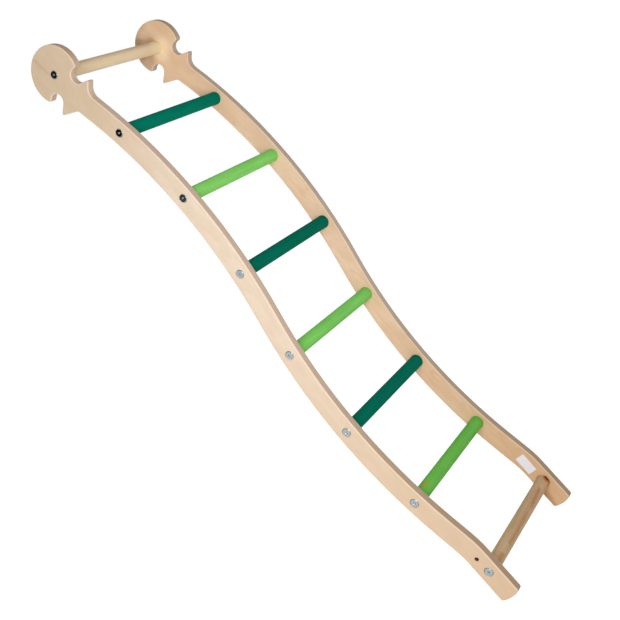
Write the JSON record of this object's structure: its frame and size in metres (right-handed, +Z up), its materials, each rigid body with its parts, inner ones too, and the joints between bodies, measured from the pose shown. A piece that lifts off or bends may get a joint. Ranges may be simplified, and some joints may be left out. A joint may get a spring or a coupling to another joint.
{
  "type": "children's climbing ladder",
  "caption": "Children's climbing ladder: wavy plywood rails joined by round painted and bare wooden rungs, with round notched heads that hook over a bar.",
  "frame": {"origin": "middle of the axis of the round bar that lies in the lower hook notches of both rails, halfway between the rails", "axes": "+Y along the rungs from the left rail to the right rail, +Z up, +X from the hooked head towards the foot along the ground; the ladder leans at 44 degrees as in use"},
  "size_m": [1.0574, 0.358, 0.9332],
  "materials": {
    "plywood": "clear satin lacquer over birch plywood",
    "natural_wood": "clear satin lacquer over solid wood",
    "dark_green": "satin dark green paint over wood",
    "light_green": "satin light green paint over wood",
    "zinc": "satin zinc plating",
    "brass": "turned"
  },
  "bodies": {
    "root": {"rail_left": "plywood", "rail_right": "plywood", "rung_1": "natural_wood", "rung_2": "dark_green", "rung_3": "light_green", "rung_4": "dark_green", "rung_5": "light_green", "rung_6": "dark_green", "rung_7": "light_green", "rung_8": "natural_wood", "bolt_left_1": "zinc", "bolt_left_2": "zinc", "bolt_left_3": "zinc", "bolt_left_4": "zinc", "bolt_left_5": "zinc", "bolt_left_6": "zinc", "bolt_left_7": "zinc", "bolt_left_8": "zinc", "insert_left_1": "brass", "insert_left_2": "brass", "insert_left_3": "brass", "insert_left_4": "brass", "insert_left_5": "brass", "insert_left_6": "brass", "insert_left_7": "brass", "insert_left_8": "brass", "bolt_right_1": "zinc", "bolt_right_2": "zinc", "bolt_right_3": "zinc", "bolt_right_4": "zinc", "bolt_right_5": "zinc", "bolt_right_6": "zinc", "bolt_right_7": "zinc", "bolt_right_8": "zinc", "insert_right_1": "brass", "insert_right_2": "brass", "insert_right_3": "brass", "insert_right_4": "brass", "insert_right_5": "brass", "insert_right_6": "brass", "insert_right_7": "brass", "insert_right_8": "brass"}
  },
  "joints": []
}
